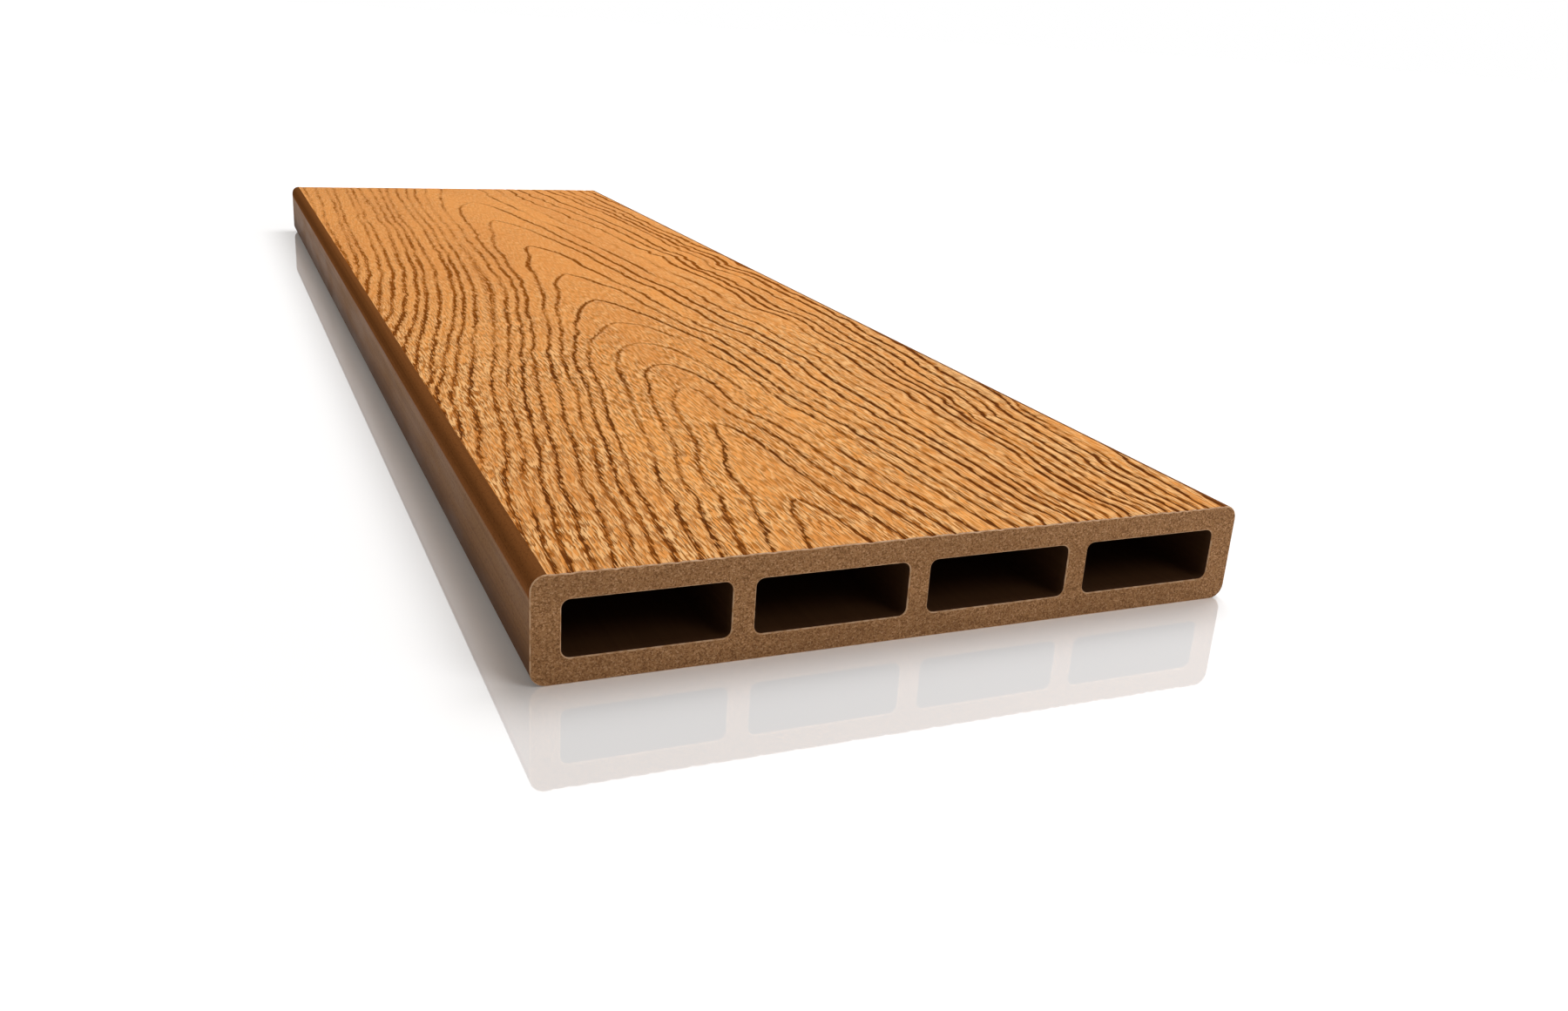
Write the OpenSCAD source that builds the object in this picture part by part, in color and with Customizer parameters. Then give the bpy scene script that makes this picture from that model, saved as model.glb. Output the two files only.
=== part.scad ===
// Hollow extruded fence board, laid flat with its embossed face up.
// Length runs along Y, width along X, thickness along Z.
// The origin is the middle of the underside.

/* [Board] */
// Width across both rounded long edges
board_width = 150; // [80:1:250]
// Thickness from the underside to the embossed face
board_thickness = 21; // [18:0.5:40]
// Length between the two square-sawn ends
board_length = 490; // [150:10:3600]
// Radius of the four rounded long edges
edge_radius = 3; // [1:0.5:5]

/* [Cells] */
// Number of lengthwise cells, side by side
cell_count = 4; // [2:1:6]
// Wall between each long edge and the cell next to it
side_wall = 5.5; // [3:0.1:8]
// Skin above and below the cells
skin = 5; // [3:0.1:6.5]
// Web between neighbouring cells
web = 4.5; // [2.5:0.1:7]
// Radius of the four corners of each cell
cell_radius = 1.6; // [0.5:0.1:2]

/* [Hidden] */
$fn = 64;
board_colour = [0.72, 0.46, 0.26];
cell_width = (board_width - 2 * side_wall - (cell_count - 1) * web) / cell_count;
cell_height = board_thickness - 2 * skin;
cell_pitch = cell_width + web;
// How far each cell's cut runs past both sawn ends
cut_past = 1;

// A rectangle with round corners, centred on the origin
module rounded_rectangle(width, height, radius) {
    square([width - 2 * radius, height], center = true);
    square([width, height - 2 * radius], center = true);
    for (x = [-1, 1], y = [-1, 1])
        translate([x * (width / 2 - radius), y * (height / 2 - radius)])
            circle(r = radius);
}

// The closed outline of the extrusion, resting on the line y = 0
module outline() {
    translate([0, board_thickness / 2])
        rounded_rectangle(board_width, board_thickness, edge_radius);
}

// The row of cells, equal in width and spaced one web apart
module cells() {
    for (i = [0 : cell_count - 1])
        translate([(i - (cell_count - 1) / 2) * cell_pitch, board_thickness / 2])
            rounded_rectangle(cell_width, cell_height, cell_radius);
}

// Turns a section drawn in X and Y into a length of stock that lies along Y, centred end to end
module along_board(length) {
    translate([0, length / 2, 0])
        rotate([90, 0, 0])
            linear_extrude(height = length)
                children();
}

// The board: one extrusion with open cells from end to end
module fence_board() {
    color(board_colour)
        difference() {
            along_board(board_length) outline();
            along_board(board_length + 2 * cut_past) cells();
        }
}

fence_board();
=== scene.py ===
import math
from typing import NamedTuple

import bmesh
import bpy
import numpy as np
from mathutils import Matrix, Vector
from mathutils.geometry import tessellate_polygon


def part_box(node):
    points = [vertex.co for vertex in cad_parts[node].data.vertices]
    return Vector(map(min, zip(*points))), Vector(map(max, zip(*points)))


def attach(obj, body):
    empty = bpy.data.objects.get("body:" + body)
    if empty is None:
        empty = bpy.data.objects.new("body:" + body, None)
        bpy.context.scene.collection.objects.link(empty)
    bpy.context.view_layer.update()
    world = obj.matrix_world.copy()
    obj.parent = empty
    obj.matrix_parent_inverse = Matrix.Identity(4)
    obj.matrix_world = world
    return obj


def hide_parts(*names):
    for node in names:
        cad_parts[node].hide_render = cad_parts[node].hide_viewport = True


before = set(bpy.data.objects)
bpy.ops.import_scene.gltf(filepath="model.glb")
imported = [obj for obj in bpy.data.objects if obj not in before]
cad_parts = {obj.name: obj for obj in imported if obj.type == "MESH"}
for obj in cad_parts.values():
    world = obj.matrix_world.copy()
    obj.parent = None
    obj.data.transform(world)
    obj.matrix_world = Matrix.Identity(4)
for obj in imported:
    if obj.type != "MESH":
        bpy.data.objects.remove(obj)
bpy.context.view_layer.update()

# The board's section, in metres, as the CAD has it
LOW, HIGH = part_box("fence_board")
WIDTH = HIGH[0] - LOW[0]
LENGTH = HIGH[1] - LOW[1]
THICKNESS = HIGH[2] - LOW[2]
EDGE_RADIUS = 0.003
SIDE_WALL = 0.0055
SKIN = 0.005
WEB = 0.0045
CELL_RADIUS = 0.0016
CELL_COUNT = 4
CELL_WIDTH = (WIDTH - 2 * SIDE_WALL - (CELL_COUNT - 1) * WEB) / CELL_COUNT
CELL_HEIGHT = THICKNESS - 2 * SKIN
MM = 0.001

# How finely the mesh is cut: the steps along the outline, and the rows from end to end
TOP_COLUMNS = 384
SIDE_STEPS = 3
UNDERSIDE_STEPS = 12
ARC_STEPS = 6
ROWS = 210
CELL_STEPS_ACROSS = 4
CELL_STEPS_UP = 2
CELL_ROWS = 24
# The small chamfer that the saw leaves round each end, and the row that keeps it crisp
SAW_EDGE = 0.00022
CRISP_ROW = 0.0004

# Camera, fitted to the photograph: place in metres, angles in degrees, lens and sensor in millimetres
CAMERA_PLACE = (-0.12299, -0.45152, 0.11117)
CAMERA_YAW = 24.392
CAMERA_PITCH = 19.751
CAMERA_ROLL = 3.773
CAMERA_LENS = 31.137
CAMERA_SENSOR = 36.0
CAMERA_NEAREST = 0.01


# Smooth noise, the same on every run

NOISE_CELLS = 256


def value_noise(u, v, seed):
    """Smooth random values from -1 to 1 over a plane, with one random value at each whole number."""
    table = np.random.default_rng(seed).uniform(-1, 1, (NOISE_CELLS, NOISE_CELLS))
    column, row = np.floor(u).astype(int), np.floor(v).astype(int)
    across, along = u - column, v - row
    across = across ** 3 * (across * (across * 6 - 15) + 10)
    along = along ** 3 * (along * (along * 6 - 15) + 10)
    left, right = column % NOISE_CELLS, (column + 1) % NOISE_CELLS
    near, far = row % NOISE_CELLS, (row + 1) % NOISE_CELLS
    low = table[left, near] * (1 - across) + table[right, near] * across
    high = table[left, far] * (1 - across) + table[right, far] * across
    return low * (1 - along) + high * along


class Drift(NamedTuple):
    """Smooth random change over the face: its patch size in millimetres, its seed and its start."""

    across: float
    along: float
    seed: int
    start_x: float = 0.0
    start_y: float = 0.0

    def at(self, x, y):
        return value_noise(x / self.across + self.start_x, y / self.along + self.start_y, self.seed)


class LineDrift(NamedTuple):
    """Random change from line to line, and along each line over a length in millimetres."""

    step: float
    length: float
    seed: int
    start: float = 0.0

    def at(self, line, y):
        return value_noise(line * self.step + self.start, y / self.length, self.seed)


def smooth_step(low, high, value):
    """0 below low, 1 above high, and a smooth rise between."""
    part = np.clip((value - low) / (high - low), 0, 1)
    return part * part * (3 - 2 * part)


def soft_rise(value, bend):
    """0 far below zero, the value itself far above it, and a round bend between."""
    return (value + np.sqrt(value ** 2 + bend ** 2)) / 2


# The cathedral grain, in millimetres across (x) and along (y) the board

# The stretches over which the near part gives way to the far one, and the left part to the right one
NEAR_STRETCH = (-160, -60)
LEFT_STRETCH = (-10, 30)

# The drifts that bend the lines, each with how far it pushes them
SWING, SWING_MM = Drift(60, 140, 11, start_x=3.1), 2.2
WAVE, WAVE_MM, WAVE_LESS_LEFT = Drift(24, 23, 12, start_y=7.7), 1.7, 0.7
RIPPLE, RIPPLE_MM, RIPPLE_LESS_LEFT = Drift(9, 6.5, 13), 0.45, 0.4
RIPPLE_PATCHES, RIPPLE_PATCH_MM = Drift(20, 32, 17, start_x=9.1), 0.9
TIP_TWIST, TIP_TWIST_MM, TIP_TWIST_REACH = Drift(15, 20, 16, start_x=5.5), 0.8, 17
TIP_SHIFT, TIP_SHIFT_MM = Drift(26, 34, 14, start_x=1.3), 6
SPACING, SPACING_LINES = LineDrift(0.85, 150, 15), 0.34

# How the lines lean: outwards in the right-hand near quarter, and inwards on the left-hand side
LEAN_SPREAD = 75.0
NEAR_LEAN = 0.10
NEAR_LEAN_PLACE = -110.0
NEAR_LEAN_BEND = 40.0
LEFT_LEAN = 9.0
LEFT_LEAN_PLACE = -60.0
LEFT_LEAN_REACH = 110.0

# The axis that the arches stand on, and how it slants on the near side of its turn
AXIS_PLACE = 0.5
AXIS_SLANT = 0.06
AXIS_TURN = 20.0
AXIS_BEND = 30.0

# Arch tips per millimetre of length, how they thin out with distance, and where they crowd together
TIPS_PER_MM = 0.0195
TIPS_EASE = 0.00003
TIPS_CROWD = 0.8
CROWD_PLACE = -85.0
CROWD_REACH = 40.0
TIPS_AT_MIDDLE = 3
# The width of an arch's round tip, and where its legs begin, which is closer in on the near part
TIP_ROUND = 1.0
SHOULDER, SHOULDER_LESS_NEAR = 9, 7
SHOULDER_BEND, SHOULDER_BEND_LESS_NEAR = 8, 6
# Lines per millimetre on an arch's legs, how many more there are outside the arches, and from where
ARCH_LINES = 0.175
OUTER_LINES_LEFT = 0.10
OUTER_LINES_RIGHT = 0.015
OUTER_PLACE = 18
OUTER_BEND = 8
OUTER_CHANGE = 10
EDGE_LINES_RIGHT = 0.07
EDGE_PLACE = 48
EDGE_BEND = 6
# Distance over which the slant of the lines dies away towards the long edges
SLANT_REACH = 90.0
# Added to the ring number, which keeps it above zero
FIRST_RING = 37

# How deep and dark the grooves are, from 0 to 1, and what each change from line to line adds
MEAN_STRENGTH = 0.72
LEAST_STRENGTH = 0.05
FADE, FADE_SHARE, FADE_MORE_RIGHT = LineDrift(3.73, 38, 21, start=0.4), 0.12, 0.12
BREAKS, BREAKS_SHARE = LineDrift(5.31, 11, 22, start=0.2), 0.22
BOLDNESS, BOLDNESS_SHARE, BOLDNESS_MORE_RIGHT = LineDrift(7.77, 400, 23, start=0.6), 0.1, 0.3
# The whole level on the left and at the far end, with the stretches over which each one changes
RIGHT_STRETCH = (-30, 20)
LEVEL_LEFT, LEVEL_MORE_RIGHT = 0.79, 0.2
FAR_STRETCH = (-60, 160)
LEVEL_FAR = 0.56
# The level of a groove that runs straight across the board
LEVEL_CROSSWISE = 0.7

# The embossed relief: depth and half width of a groove, and the low swell of the face
GROOVE_DEPTH_MM = 0.24
GROOVE_REACH_MM = 0.6
SWELL, SWELL_MM = Drift(9, 60, 31), 0.05
# The gentlest rise of the ring number that still counts as a pitch
LEAST_STEEPNESS = 0.02
# The relief runs out to this share of its depth over the last stretch before a long edge
EDGE_RELIEF = 0.35
EDGE_STRETCH_MM = 2.5


def bent_place(x, y):
    """How far across the board a point would lie if the drifts and leans hadn't bent the lines."""
    left_part = 1 - smooth_step(*LEFT_STRETCH, x)
    swing = SWING_MM * SWING.at(x, y)
    wave = (WAVE_MM - WAVE_LESS_LEFT * left_part) * WAVE.at(x, y)
    patch = np.maximum(0, RIPPLE_PATCHES.at(x, y))
    ripple = (RIPPLE_MM + RIPPLE_PATCH_MM * patch) * (1 - RIPPLE_LESS_LEFT * left_part) * RIPPLE.at(x, y)
    lean = NEAR_LEAN * soft_rise(NEAR_LEAN_PLACE - y, NEAR_LEAN_BEND) * smooth_step(0, LEAN_SPREAD, x)
    inwards = np.tanh((y - LEFT_LEAN_PLACE) / LEFT_LEAN_REACH) * smooth_step(0, LEAN_SPREAD, -x)
    return x + swing + wave + ripple + (lean - LEFT_LEAN * inwards)


def ring_number(x, y):
    """The growth ring at a point, in lines. A groove runs along each whole number and a half."""
    near_part = 1 - smooth_step(*NEAR_STRETCH, y)
    off = bent_place(x, y) - AXIS_PLACE + AXIS_SLANT * soft_rise(AXIS_TURN - y, AXIS_BEND)
    off = off + TIP_TWIST_MM * np.exp(-((off / TIP_TWIST_REACH) ** 2)) * TIP_TWIST.at(x, y)
    reach = np.sqrt(off ** 2 + TIP_ROUND ** 2)
    shoulder = SHOULDER - SHOULDER_LESS_NEAR * near_part
    arches = ARCH_LINES * soft_rise(reach - shoulder, SHOULDER_BEND - SHOULDER_BEND_LESS_NEAR * near_part)
    change = smooth_step(-OUTER_CHANGE, OUTER_CHANGE, off)
    outer = OUTER_LINES_LEFT + (OUTER_LINES_RIGHT - OUTER_LINES_LEFT) * change
    sides = outer * soft_rise(reach - OUTER_PLACE, OUTER_BEND)
    sides = sides + EDGE_LINES_RIGHT * soft_rise(off - EDGE_PLACE, EDGE_BEND)
    lengthwise = y + TIP_SHIFT_MM * TIP_SHIFT.at(x, y)
    tips = TIPS_PER_MM * lengthwise - TIPS_EASE / 2 * lengthwise ** 2
    tips = tips + TIPS_CROWD * np.tanh((lengthwise - CROWD_PLACE) / CROWD_REACH)
    ring = (tips + TIPS_AT_MIDDLE) / (1 + (off / SLANT_REACH) ** 2) + arches + sides + FIRST_RING
    return ring + SPACING_LINES * SPACING.at(ring, y)


def groove_strength(ring, x, y, lengthwise_share):
    """How deep and dark the nearest groove is, from 0 to 1. It is weaker where a groove runs across."""
    line = np.floor(ring)
    right_part = smooth_step(*RIGHT_STRETCH, x)
    strength = MEAN_STRENGTH + (FADE_SHARE + FADE_MORE_RIGHT * right_part) * FADE.at(line, y)
    strength = strength + (BOLDNESS_SHARE + BOLDNESS_MORE_RIGHT * right_part) * BOLDNESS.at(line, y)
    strength = strength + BREAKS_SHARE * BREAKS.at(line, y)
    far_part = smooth_step(*FAR_STRETCH, y)
    strength = strength * (LEVEL_LEFT + LEVEL_MORE_RIGHT * right_part) * (1 - (1 - LEVEL_FAR) * far_part)
    strength = strength * (LEVEL_CROSSWISE + (1 - LEVEL_CROSSWISE) * lengthwise_share)
    return np.clip(strength, LEAST_STRENGTH, 1)


def emboss(x, y):
    """For a grid of places: the ring, pitch and groove strength by name, and how far the face is sunk."""
    ring = ring_number(x, y)
    rise_along, rise_across = np.gradient(ring, y[:, 0], x[0])
    steepness = np.hypot(rise_across, rise_along)
    pitch = 1 / np.maximum(steepness, LEAST_STEEPNESS)
    strength = groove_strength(ring, x, y, (rise_across / steepness) ** 2)
    off_groove = np.abs(ring - np.floor(ring) - 0.5) * pitch
    grooves = GROOVE_DEPTH_MM * strength * np.exp(-((off_groove / GROOVE_REACH_MM) ** 2))
    swell = SWELL_MM * (1 + SWELL.at(x, y))
    run_out = EDGE_RELIEF + (1 - EDGE_RELIEF) * smooth_step(0, EDGE_STRETCH_MM, x.max() - np.abs(x))
    return {"ring": ring, "pitch": pitch, "strength": strength}, (grooves + swell) * run_out


# Mesh

def arc(centre, radius, start, steps):
    """Points of a quarter turn clockwise from a start angle in degrees, without the two ends."""
    turn = [math.radians(start - 90 * step / steps) for step in range(1, steps)]
    return [(centre[0] + radius * math.cos(a), centre[1] + radius * math.sin(a)) for a in turn]


def straight(start, end, steps):
    """Points from a start to an end, both included."""
    start, way = np.array(start), np.array(end) - np.array(start)
    return [tuple(start + way * step / steps) for step in range(steps + 1)]


def rounded_section(width, height, centre_z, radius, top_steps, up_steps, under_steps):
    """A closed loop of (x, z), clockwise from the left end of the top, and the way out at each point."""
    right, top = width / 2, centre_z + height / 2
    left, bottom = -right, centre_z - height / 2
    loop = straight((left + radius, top), (right - radius, top), top_steps)
    loop += arc((right - radius, top - radius), radius, 90, ARC_STEPS)
    loop += straight((right, top - radius), (right, bottom + radius), up_steps)
    loop += arc((right - radius, bottom + radius), radius, 0, ARC_STEPS)
    loop += straight((right - radius, bottom), (left + radius, bottom), under_steps)
    loop += arc((left + radius, bottom + radius), radius, -90, ARC_STEPS)
    loop += straight((left, bottom + radius), (left, top - radius), up_steps)
    loop += arc((left + radius, top - radius), radius, 180, ARC_STEPS)
    points = np.array(loop)
    inner = np.array([right - radius, height / 2 - radius])
    centred = points - [0, centre_z]
    outward = centred - np.clip(centred, -inner, inner)
    outward /= np.linalg.norm(outward, axis=1)[:, None]
    return points, outward


EMBOSSED, EXTRUDED, SAWN, CUT_EDGE, CELL = range(5)

# The points of a section's loop that lie on the embossed face
TOP = np.arange(TOP_COLUMNS + 1)
# Each end: its direction along Y, and its row
ENDS = ((-1, 0), (1, -1))


class BoardMesh:
    """Collects rings of vertices and faces, and a material for each face."""

    def __init__(self):
        self.points = []
        self.faces = []
        self.materials = []
        self.count = 0

    def ring(self, loop, y, sunk_mm=None):
        """Adds a closed ring of vertices, its top sunk by the depths if they are given, and numbers them."""
        height = loop[:, 1].copy()
        if sunk_mm is not None:
            height[TOP] -= sunk_mm * MM
        self.points.append(np.column_stack([loop[:, 0], np.full(len(loop), y), height]))
        self.count += len(loop)
        return np.arange(self.count - len(loop), self.count)

    def skin(self, first, second, materials):
        """Joins two rings of vertex numbers with one quad for each pair of neighbours."""
        quads = np.stack([first, np.roll(first, -1), np.roll(second, -1), second], axis=1)
        self.faces += quads.tolist()
        self.materials += list(materials)

    def cap(self, loops):
        """Closes an end with a flat sawn face inside its first loop, which leaves the others open."""
        points = np.concatenate(self.points)
        numbers = np.concatenate(loops)
        flat = [[Vector((points[number, 0], points[number, 2], 0)) for number in loop] for loop in loops]
        triangles = tessellate_polygon(flat)
        self.faces += [[int(numbers[corner]) for corner in triangle] for triangle in triangles]
        self.materials += [SAWN] * len(triangles)

    def data(self, name):
        """The collected faces as mesh data."""
        data = bpy.data.meshes.new(name)
        data.from_pydata(np.concatenate(self.points).tolist(), [], self.faces)
        data.polygons.foreach_set("material_index", self.materials)
        data.polygons.foreach_set("use_smooth", [bool(kind != SAWN) for kind in self.materials])
        return data


def row_places():
    """Where the rows of the outer skin lie along the board, from the near end to the far end."""
    end = LENGTH / 2 - SAW_EDGE
    inner = np.linspace(-end + CRISP_ROW, end - CRISP_ROW, ROWS)
    return np.concatenate([[-end], inner, [end]])


def add_outside(mesh, section, outward, places, sunk):
    """The outer skin, with a chamfer round each end. Gives its rings and the two rims of the end faces."""
    kinds = np.full(len(section), EXTRUDED)
    kinds[TOP[:-1]] = EMBOSSED
    rings = [mesh.ring(section, place, depths) for place, depths in zip(places, sunk)]
    for first, second in zip(rings, rings[1:]):
        mesh.skin(first, second, kinds)
    rims = []
    for side, row in ENDS:
        rim = mesh.ring(section - outward * SAW_EDGE, side * LENGTH / 2, sunk[row])
        mesh.skin(rings[row], rim, [CUT_EDGE] * len(rim))
        rims.append(rim)
    return rings, rims


def add_cell(mesh, centre):
    """One open cell, with a chamfer round each mouth. Gives the loops of its two mouths."""
    steps = (CELL_STEPS_ACROSS, CELL_STEPS_UP, CELL_STEPS_ACROSS)
    section, outward = rounded_section(CELL_WIDTH, CELL_HEIGHT, THICKNESS / 2, CELL_RADIUS, *steps)
    wall = section + [centre, 0]
    places = np.sin(np.linspace(-math.pi / 2, math.pi / 2, CELL_ROWS)) * (LENGTH / 2 - SAW_EDGE)
    tunnel = [mesh.ring(wall, place) for place in places]
    for first, second in zip(tunnel, tunnel[1:]):
        mesh.skin(first, second, [CELL] * len(first))
    mouths = []
    for side, row in ENDS:
        mouth = mesh.ring(wall + outward * SAW_EDGE, side * LENGTH / 2)
        mesh.skin(tunnel[row], mouth, [CUT_EDGE] * len(mouth))
        mouths.append(mouth)
    return mouths


def add_grain(data, grain, rings, rims):
    """Writes the grain's values on the vertices of the embossed face, where its shader reads them."""
    for name, values in grain.items():
        column = np.zeros(len(data.vertices), dtype=np.float32)
        for ring, row_values in zip(rings, values):
            column[ring[TOP]] = row_values
        for rim, (_, row) in zip(rims, ENDS):
            column[rim[TOP]] = values[row]
        data.attributes.new(name, "FLOAT", "POINT").data.foreach_set("value", column)


def face_outwards(data):
    """Turns all normals of a closed mesh outwards."""
    shaped = bmesh.new()
    shaped.from_mesh(data)
    bmesh.ops.recalc_face_normals(shaped, faces=shaped.faces)
    shaped.to_mesh(data)
    shaped.free()


def build_board():
    """The whole board as one closed mesh: embossed top, smooth skin, open cells and sawn ends."""
    steps = (TOP_COLUMNS, SIDE_STEPS, UNDERSIDE_STEPS)
    section, outward = rounded_section(WIDTH, THICKNESS, THICKNESS / 2, EDGE_RADIUS, *steps)
    places = row_places()
    grain, sunk = emboss(*np.meshgrid(section[TOP, 0] / MM, places / MM))
    mesh = BoardMesh()
    rings, rims = add_outside(mesh, section, outward, places, sunk)
    middle = (CELL_COUNT - 1) / 2
    mouths = [add_cell(mesh, (number - middle) * (CELL_WIDTH + WEB)) for number in range(CELL_COUNT)]
    for rim, end_mouths in zip(rims, zip(*mouths)):
        mesh.cap([rim, *end_mouths])
    data = mesh.data("fence_board_finish")
    add_grain(data, grain, rings, rims)
    face_outwards(data)
    finished = bpy.data.objects.new("fence_board_finish", data)
    bpy.context.scene.collection.objects.link(finished)
    return finished


# Shader helpers

class Nodes:
    """A material's node tree, with short calls for the nodes that the finishes share."""

    def __init__(self, name):
        self.material = bpy.data.materials.new(name)
        self.material.use_nodes = True
        self.tree = self.material.node_tree
        self.shader = self.tree.nodes["Principled BSDF"]

    def node(self, kind, **settings):
        made = self.tree.nodes.new(kind)
        for key, value in settings.items():
            setattr(made, key, value)
        return made

    def link(self, source, target):
        self.tree.links.new(source, target)

    def put(self, socket, value):
        """Links a socket to the value, or sets it where the value is a plain one."""
        if isinstance(value, bpy.types.NodeSocket):
            self.link(value, socket)
        else:
            socket.default_value = value

    def math(self, operation, *values):
        made = self.node("ShaderNodeMath", operation=operation)
        for socket, value in zip(made.inputs, values):
            self.put(socket, value)
        return made.outputs[0]

    def scaled(self, value, factor, start=0.0):
        """The value times a factor, plus a start."""
        return self.math("MULTIPLY_ADD", value, factor, start)

    def between(self, part, first, second):
        """The first number where the part is 0, the second where it is 1, and evenly between."""
        return self.scaled(part, second - first, first)

    def total(self, *values):
        """The sum of several values."""
        result = values[0]
        for value in values[1:]:
            result = self.math("ADD", result, value)
        return result

    def product(self, *values):
        """Several values multiplied."""
        result = values[0]
        for value in values[1:]:
            result = self.math("MULTIPLY", result, value)
        return result

    def attribute(self, name):
        return self.node("ShaderNodeAttribute", attribute_name=name).outputs["Fac"]

    def place(self, axis):
        """The place along an axis of the object, in metres."""
        split = self.node("ShaderNodeSeparateXYZ")
        self.link(self.node("ShaderNodeTexCoord").outputs["Object"], split.inputs["Vector"])
        return split.outputs[axis]

    def noise(self, size_mm, detail=2.0, roughness=0.5, offset=0.0):
        """Noise whose patches have about the given size across, along and up, in millimetres."""
        mapping = self.node("ShaderNodeMapping")
        self.link(self.node("ShaderNodeTexCoord").outputs["Object"], mapping.inputs["Vector"])
        mapping.inputs["Scale"].default_value = [1 / (size * MM) for size in size_mm]
        mapping.inputs["Location"].default_value = [offset] * 3
        made = self.node("ShaderNodeTexNoise")
        self.link(mapping.outputs["Vector"], made.inputs["Vector"])
        made.inputs["Scale"].default_value = 1.0
        made.inputs["Detail"].default_value = detail
        made.inputs["Roughness"].default_value = roughness
        return made.outputs["Fac"]

    def ramp(self, value, low, high, to_low=0.0, to_high=1.0):
        """A smooth change from one level to another as the value goes from low to high."""
        made = self.node("ShaderNodeMapRange", interpolation_type="SMOOTHSTEP")
        for name, part in (
            ("Value", value),
            ("From Min", low),
            ("From Max", high),
            ("To Min", to_low),
            ("To Max", to_high),
        ):
            self.put(made.inputs[name], part)
        return made.outputs["Result"]

    def mix(self, factor, first, second):
        """The first colour where the factor is 0, and the second where it is 1."""
        made = self.node("ShaderNodeMix", data_type="RGBA")
        self.put(made.inputs["Factor"], factor)
        for socket, value in ((made.inputs["A"], first), (made.inputs["B"], second)):
            self.put(socket, value if isinstance(value, bpy.types.NodeSocket) else (*value, 1.0))
        return made.outputs["Result"]

    def bump(self, height, distance):
        made = self.node("ShaderNodeBump")
        made.inputs["Distance"].default_value = distance
        self.link(height, made.inputs["Height"])
        self.link(made.outputs["Normal"], self.shader.inputs["Normal"])

    def finish(self, colour, roughness, specular):
        """Sets the shader's colour, roughness and specular level, and gives the material."""
        self.put(self.shader.inputs["Base Color"], colour)
        self.put(self.shader.inputs["Roughness"], roughness)
        self.put(self.shader.inputs["Specular IOR Level"], specular)
        return self.material


# Colours, as linear red, green and blue
# The pale tan of the groove rims and glints is a painted highlight
PAINTED_HIGHLIGHT = (1.0, 0.62, 0.275)
RIDGE_LIGHT = (0.90, 0.380, 0.095)
RIDGE_DEEP = (0.75, 0.296, 0.072)
# The groove browns are partly the grooves' own colour and partly painted shade, darkest in their middle
GROOVE_BROWN = (0.35, 0.092, 0.006)
GROOVE_DARK = (0.100, 0.020, 0.0008)
SKIN_BROWN = (0.275, 0.132, 0.050)
# Painted shade low on the long sides, and also the colour of the die lines and grit
SKIN_SHADE_AND_MARKS = (0.088, 0.032, 0.008)
# A painted soft highlight on the long sides below the dark band
SKIN_PAINTED_HIGHLIGHT = (0.52, 0.30, 0.16)
# The dark band and its darker rounded shoulder: partly the skin's own colour, partly painted shade
SKIN_DARK = (0.29, 0.107, 0.034)
SKIN_EDGE = (0.215, 0.077, 0.021)
SAWN_BROWN = (0.40, 0.200, 0.083)
SAWN_DARK = (0.19, 0.086, 0.031)
SAWN_LIGHT = (0.66, 0.38, 0.19)
# The pale arris colour is partly scuffing and partly a painted highlight
CUT_LIGHT = (0.58, 0.36, 0.205)
# The cell wall browns are partly darker unworked skin and partly painted shade inside the hollows
CELL_BROWN = (0.050, 0.021, 0.007)
CELL_DARK = (0.038, 0.015, 0.005)

# The embossed face. Sizes are in millimetres across, along and up.
TICK_SIZE = (0.44, 4.6, 1)
GLINT_SIZE = (0.44, 5.4, 1)
JUMP_SIZE = (0.5, 4.5, 1)
GRIT_SIZE = (0.35, 0.7, 0.35)
CROWD_SIZE = (9, 26, 9)
TONE_SIZE = (22, 120, 22)
# Over which levels of its noise each one sets in, and how thin and how thick the ticks may crowd
TICK_LEVELS = (0.51, 0.58)
GLINT_LEVELS = (0.50, 0.58)
GRIT_LEVELS = (0.4, 0.7)
CROWD_LEVELS = (0.36, 0.6)
TONE_LEVELS = (0.32, 0.68)
CROWD_THIN, CROWD_THICK = 0.55, 0.9
# The stretches, in metres, over which the ticks get busier to the left and bolder towards the near end
BUSY_STRETCH_M = (0.035, -0.015)
NEAR_STRETCH_M = (0.04, -0.13)
# How far from its groove's middle a tick darkens, and how far the groove jumps from tick to tick
TICK_REACH_FAR, TICK_REACH_NEAR = 1.25, 0.8
JUMP_CALM, JUMP_BUSY = 1.5, 2.5
# From where to where, in millimetres from the middle of a groove, its brown band of painted shade and its
# pale rim of painted highlight run
BAND_FADE = (1.6, 0.3)
RIM_RISE = (0.6, 0.95)
RIM_FADE = (1.9, 1.2)
# The nearness to a groove over which a tick darkens, and over which it turns the darkest brown, a painted
# shade in the groove's middle
GROOVE_TICKS = (0.1, 0.5)
DARKEST_TICKS = (0.25, 0.7)
# How strongly a groove draws dark ticks together, and its rim the pale ticks of painted highlight
TICK_PULL = 0.36
GLINT_PULL = 0.2
FINE_RELIEF = 0.00030
FACE_SPECULAR = 0.008
FACE_ROUGHNESS, GROOVE_ROUGHNESS = 0.6, 0.85

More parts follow.
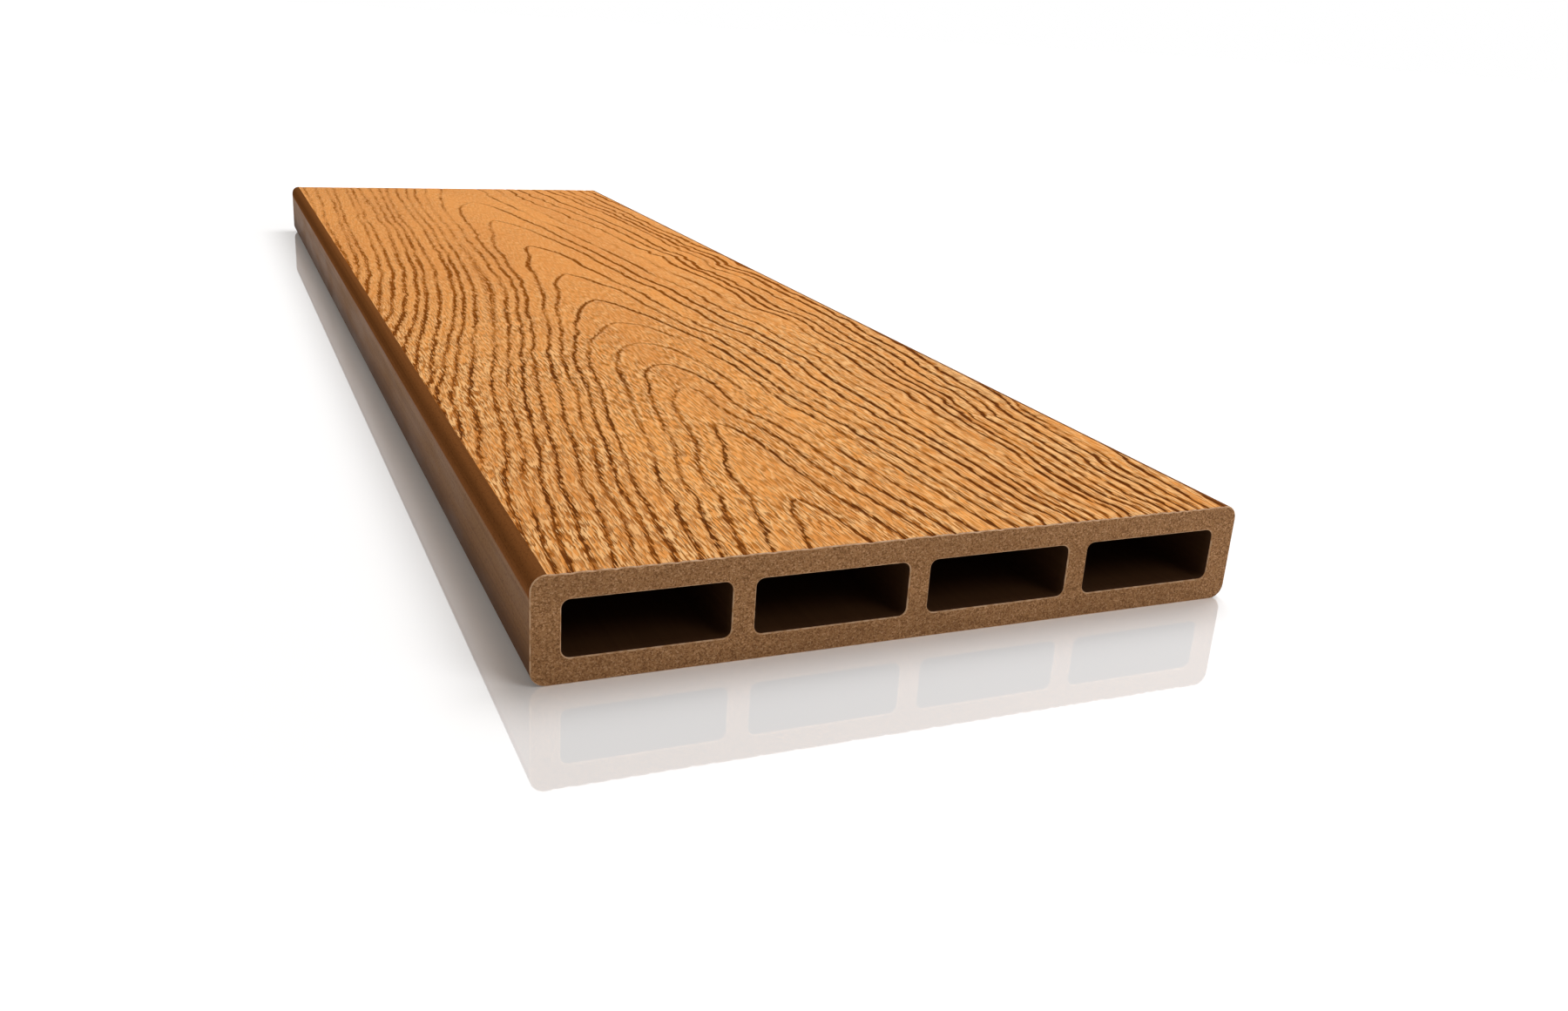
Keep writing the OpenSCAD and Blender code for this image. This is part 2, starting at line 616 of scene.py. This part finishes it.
# The long sides. Levels are shares of the thickness, from the underside up.
# The band and shoulder are partly painted shade, the pale levels a painted highlight, the low levels painted
# shade
BAND_EDGE = (0.78, 0.81)
SHOULDER_LEVELS = (0.80, 0.92)
HIGHLIGHT_LEVELS = (0.59, 0.79)
LOW_SHADE_LEVELS = (0.55, 0.12)
UNDERSIDE_LEVELS = (0.0, 0.03)
DIE_LINE_SIZE = (0.6, 160, 0.6)
SHEEN_SIZE = (9, 40, 9)
SIDE_GRIT_SIZE = (0.4, 0.6, 0.4)
SIDE_ROUGHNESS = (0.30, 0.42)
SIDE_SPECULAR = 0.006
SIDE_RELIEF = 0.00005

# The sawn ends, their cut edges and the cells
FLOUR_SIZE = (0.34, 0.34, 0.34)
FLECK_SIZE = (0.42, 0.42, 0.36)
SAWN_CLOUD_SIZE = (12, 12, 6)
SAW_MARK_SIZE = (0.9, 5, 14)
SAWN_RELIEF = 0.0003
SAWN_ROUGHNESS = 0.72
WEAR_AND_HIGHLIGHT_SIZE = (1.6, 1.6, 1.6)
SCUFF_SIZE = (0.3, 0.3, 0.3)
SCUFF_RELIEF = 0.00005
CUT_ROUGHNESS = 0.55
CELL_STREAK_SIZE = (0.9, 90, 0.9)
CELL_RELIEF = 0.00004
CELL_ROUGHNESS = 0.65


def nearness(n, busy, near):
    """How close a point is to a groove, to the brown band of painted shade beside it, and to its pale rim of
    painted highlight, from 0 to 1.
    """
    ring, pitch, strength = (n.attribute(name) for name in ("ring", "pitch", "strength"))
    jump = n.scaled(n.noise(JUMP_SIZE, 1.0), 1.0, -0.5)
    ragged = n.product(jump, n.between(busy, JUMP_CALM, JUMP_BUSY))
    side = n.product(n.math("SUBTRACT", n.math("FRACT", ring), 0.5), pitch)
    off = n.math("ABSOLUTE", n.total(side, ragged))
    reach = n.between(near, TICK_REACH_FAR, TICK_REACH_NEAR)
    groove = n.product(n.ramp(off, reach, 0.05), strength)
    band = n.product(n.ramp(off, *BAND_FADE), strength)
    rim = n.product(n.ramp(off, *RIM_RISE), n.ramp(off, *RIM_FADE), strength)
    return groove, band, rim


def embossed_face():
    """Orange-tan ridges under short lengthwise ticks, which crowd and darken along the growth rings, with
    painted shade in the grooves and painted highlights on their rims.
    """
    n = Nodes("embossed_face")
    busy = n.ramp(n.place("X"), *BUSY_STRETCH_M)
    near = n.ramp(n.place("Y"), *NEAR_STRETCH_M)
    groove, band, rim = nearness(n, busy, near)

    # dark ticks, and pale ticks of painted highlight, thicker in some patches than in others
    crowd = n.ramp(n.noise(CROWD_SIZE), *CROWD_LEVELS, CROWD_THIN, CROWD_THICK)
    faint = n.product(n.between(busy, 0.58, 0.88), crowd, n.between(near, 0.35, 1.0))
    dark = n.ramp(n.total(n.noise(TICK_SIZE, 1.0), n.scaled(groove, TICK_PULL)), *TICK_LEVELS)
    dark = n.product(dark, n.math("MAXIMUM", faint, n.ramp(groove, *GROOVE_TICKS)))
    # pale glint ticks, drawn to the groove rims: painted highlight
    glint = n.total(n.noise(GLINT_SIZE, 1.0, offset=37.0), n.scaled(rim, GLINT_PULL))
    light = n.product(n.ramp(glint, *GLINT_LEVELS), crowd, n.between(near, 0.45, 1.0))

    # colours, from the ridges down into the grooves, whose brown is partly their own colour and partly
    # painted shade that is darkest in their middle
    tone = n.ramp(n.noise(TONE_SIZE, 3.0, 0.55), *TONE_LEVELS)
    grit = n.noise(GRIT_SIZE, 2.0, 0.6, 11.0)
    colour = n.mix(n.product(tone, n.between(near, 0.5, 1.0)), RIDGE_DEEP, RIDGE_LIGHT)
    colour = n.mix(n.ramp(grit, *GRIT_LEVELS, 0.0, 0.3), colour, RIDGE_DEEP)
    # painted highlight on the ridges and groove rims
    colour = n.mix(n.scaled(light, 0.8), colour, PAINTED_HIGHLIGHT)
    # painted shade in a band beside each groove
    colour = n.mix(n.product(band, n.between(near, 0.5, 0.3)), colour, GROOVE_BROWN)
    # painted shade, darkest in the middle of each groove
    depth = n.product(n.ramp(groove, *DARKEST_TICKS), n.between(near, 0.4, 1.0))
    colour = n.mix(n.scaled(dark, 0.95), colour, n.mix(depth, GROOVE_BROWN, GROOVE_DARK))

    n.bump(n.total(n.scaled(dark, -1.0), n.scaled(light, 0.4), n.scaled(grit, 0.15)), FINE_RELIEF)
    return n.finish(colour, n.between(dark, FACE_ROUGHNESS, GROOVE_ROUGHNESS), FACE_SPECULAR)


def extruded_skin():
    """Smooth skin as it leaves the die: a dark band under the face, partly its own colour and partly painted
    shade, a painted soft highlight below it, then brown that darkens downwards as painted shade.
    """
    n = Nodes("extruded_skin")
    level = n.scaled(n.place("Z"), 1 / THICKNESS)
    band = n.ramp(level, *BAND_EDGE)
    low = n.product(n.ramp(level, *LOW_SHADE_LEVELS), n.ramp(level, *UNDERSIDE_LEVELS))
    lines = n.noise(DIE_LINE_SIZE, 3.0, 0.6)
    sheen = n.noise(SHEEN_SIZE, 3.0)
    grit = n.noise(SIDE_GRIT_SIZE)
    # painted shade, darker towards the foot
    colour = n.mix(n.scaled(low, 0.9), SKIN_BROWN, SKIN_SHADE_AND_MARKS)
    # painted soft highlight below the dark band
    colour = n.mix(n.scaled(n.ramp(level, *HIGHLIGHT_LEVELS), 0.22), colour, SKIN_PAINTED_HIGHLIGHT)
    # the dark band, partly the skin's own colour and partly painted shade, darkest on the rounded shoulder
    colour = n.mix(band, colour, n.mix(n.ramp(level, *SHOULDER_LEVELS), SKIN_DARK, SKIN_EDGE))
    colour = n.mix(n.ramp(lines, 0.4, 0.7, 0.0, 0.3), colour, SKIN_SHADE_AND_MARKS)
    colour = n.mix(n.ramp(grit, 0.5, 0.7, 0.0, 0.4), colour, SKIN_SHADE_AND_MARKS)
    n.bump(n.total(n.scaled(lines, 0.8), n.scaled(grit, 0.5)), SIDE_RELIEF)
    roughness = n.ramp(sheen, 0.3, 0.7, *SIDE_ROUGHNESS)
    return n.finish(colour, roughness, n.between(band, SIDE_SPECULAR, 0.0))


def sawn_end():
    """Granular brown wood flour and plastic, crossed by faint saw marks."""
    n = Nodes("sawn_end")
    grain = n.noise(FLOUR_SIZE, 3.0, 0.65)
    flecks = n.noise(FLECK_SIZE, 2.0, 0.6, 5.0)
    cloud = n.noise(SAWN_CLOUD_SIZE)
    marks = n.noise(SAW_MARK_SIZE)
    colour = n.mix(n.ramp(grain, 0.38, 0.58), SAWN_DARK, SAWN_BROWN)
    colour = n.mix(n.ramp(flecks, 0.52, 0.68, 0.0, 0.7), colour, SAWN_LIGHT)
    colour = n.mix(n.ramp(cloud, 0.35, 0.65, 0.0, 0.2), colour, SAWN_DARK)
    n.bump(n.total(grain, n.scaled(marks, 0.6)), SAWN_RELIEF)
    return n.finish(colour, SAWN_ROUGHNESS, 0.1)


def cut_edge():
    """The arris between the sawn end and the skins, pale partly from scuffs and partly as a painted
    highlight.
    """
    n = Nodes("cut_edge")
    wear_and_highlight = n.ramp(n.noise(WEAR_AND_HIGHLIGHT_SIZE, 3.0), 0.35, 0.62)
    # partly scuffs, partly painted highlight where the edge catches the light
    colour = n.mix(wear_and_highlight, SAWN_BROWN, CUT_LIGHT)
    n.bump(n.noise(SCUFF_SIZE), SCUFF_RELIEF)
    return n.finish(colour, CUT_ROUGHNESS, 0.3)


def cell_wall():
    """Dark wall of the hollow cells, partly darker unworked skin and partly painted shade, streaked
    lengthwise by the die.
    """
    n = Nodes("cell_wall")
    streaks = n.noise(CELL_STREAK_SIZE, 3.0)
    # partly painted shade inside the hollow cells
    colour = n.mix(n.ramp(streaks, 0.3, 0.75, 0.0, 0.6), CELL_DARK, CELL_BROWN)
    n.bump(streaks, CELL_RELIEF)
    return n.finish(colour, CELL_ROUGHNESS, 0.1)


# Studio

FLOOR_HALF = 10.0
FLOOR_WHITE = (0.975, 0.96, 0.94)
FLOOR_IOR = 3.8
FLOOR_ROUGHNESS = 0.03
FLOOR_SPECULAR = 0.5
# The floor's own light for the camera, beside the board and from where it is whole, in metres away; the
# weaker glow beside the board is painted shade that deepens the shadow there
FLOOR_GLOW_BESIDE, FLOOR_GLOW_AWAY = 0.10, 0.5
GLOW_STRETCH = (0.03, 0.25)
WHITE = (1, 1, 1, 1)
SOFT_FILL = (0.230, 0.204, 0.172)
LAMP_COLOUR = (0.975, 1.0, 1.05)
# Each soft lamp's place, size across and power
LAMPS = {
    "key": ((0.42, 0.16, 1.08), 0.8, 11.6),
    "front": ((0.25, -0.60, 0.48), 0.3, 1.2),
}


def make_floor():
    """A white glossy floor, which shows pure white to the camera wherever nothing shades it, and glows less
    beside the board as painted shade round its foot.
    """
    bpy.ops.mesh.primitive_plane_add(size=2 * FLOOR_HALF, location=(0, 0, 0))
    floor = bpy.context.object
    floor.name = "studio_floor"
    n = Nodes("studio_floor")
    n.finish((*FLOOR_WHITE, 1.0), FLOOR_ROUGHNESS, FLOOR_SPECULAR)
    n.shader.inputs["IOR"].default_value = FLOOR_IOR
    n.shader.inputs["Emission Color"].default_value = WHITE
    past_sides = []
    for axis, half in (("X", WIDTH / 2), ("Y", LENGTH / 2)):
        past = n.math("SUBTRACT", n.math("ABSOLUTE", n.place(axis)), half)
        past_sides.append(n.math("POWER", n.math("MAXIMUM", past, 0.0), 2.0))
    away = n.math("SQRT", n.total(*past_sides))
    # painted shade: less glow close beside the board
    glow = n.ramp(away, *GLOW_STRETCH, FLOOR_GLOW_BESIDE, FLOOR_GLOW_AWAY)
    seen = n.node("ShaderNodeLightPath").outputs["Is Camera Ray"]
    n.link(n.product(seen, glow), n.shader.inputs["Emission Strength"])
    floor.data.materials.append(n.material)


def make_world():
    """White all round for the camera and for reflections, and a plain soft fill for the surfaces."""
    world = bpy.data.worlds.new("studio")
    bpy.context.scene.world = world
    world.use_nodes = True
    tree = world.node_tree
    path = tree.nodes.new("ShaderNodeLightPath")
    seen = path.outputs["Is Camera Ray"]
    for name in ("Is Glossy Ray", "Is Transmission Ray"):
        either = tree.nodes.new("ShaderNodeMath")
        either.operation = "MAXIMUM"
        tree.links.new(seen, either.inputs[0])
        tree.links.new(path.outputs[name], either.inputs[1])
        seen = either.outputs[0]
    level = tree.nodes.new("ShaderNodeMix")
    level.data_type = "RGBA"
    level.inputs["A"].default_value = (*SOFT_FILL, 1.0)
    level.inputs["B"].default_value = WHITE
    tree.links.new(seen, level.inputs["Factor"])
    tree.links.new(level.outputs["Result"], tree.nodes["Background"].inputs["Color"])
    tree.nodes["Background"].inputs["Strength"].default_value = 1.0


def make_lamp(name, place, size, watts):
    """A square soft lamp that faces the middle of the board."""
    data = bpy.data.lights.new(name, "AREA")
    data.energy = watts
    data.size = size
    data.color = LAMP_COLOUR
    lamp = bpy.data.objects.new(name, data)
    lamp.location = place
    lamp.rotation_euler = (-Vector(place)).to_track_quat("-Z", "Y").to_euler()
    bpy.context.scene.collection.objects.link(lamp)


def make_camera():
    """The photograph's viewing angle: yaw from +Y towards +X, pitch down, and roll."""
    yaw, pitch, roll = (math.radians(angle) for angle in (CAMERA_YAW, CAMERA_PITCH, CAMERA_ROLL))
    ahead = Vector((math.sin(yaw) * math.cos(pitch), math.cos(yaw) * math.cos(pitch), -math.sin(pitch)))
    level = Vector((math.cos(yaw), -math.sin(yaw), 0))
    upright = level.cross(ahead)
    right = math.cos(roll) * level + math.sin(roll) * upright
    up = math.cos(roll) * upright - math.sin(roll) * level
    data = bpy.data.cameras.new("camera")
    data.lens = CAMERA_LENS
    data.sensor_width = CAMERA_SENSOR
    data.clip_start = CAMERA_NEAREST
    camera = bpy.data.objects.new("camera", data)
    turn = Matrix((right, up, -ahead)).transposed().to_4x4()
    camera.matrix_world = Matrix.Translation(CAMERA_PLACE) @ turn
    bpy.context.scene.collection.objects.link(camera)
    bpy.context.scene.camera = camera


make_camera()
make_world()
for lamp_name, (lamp_place, lamp_size, lamp_watts) in LAMPS.items():
    make_lamp(lamp_name, lamp_place, lamp_size, lamp_watts)
make_floor()

board = build_board()
for finish in (embossed_face, extruded_skin, sawn_end, cut_edge, cell_wall):
    board.data.materials.append(finish())
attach(board, "root")
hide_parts("fence_board")

bpy.context.scene.view_settings.view_transform = "Standard"

bpy.context.view_layer.update()
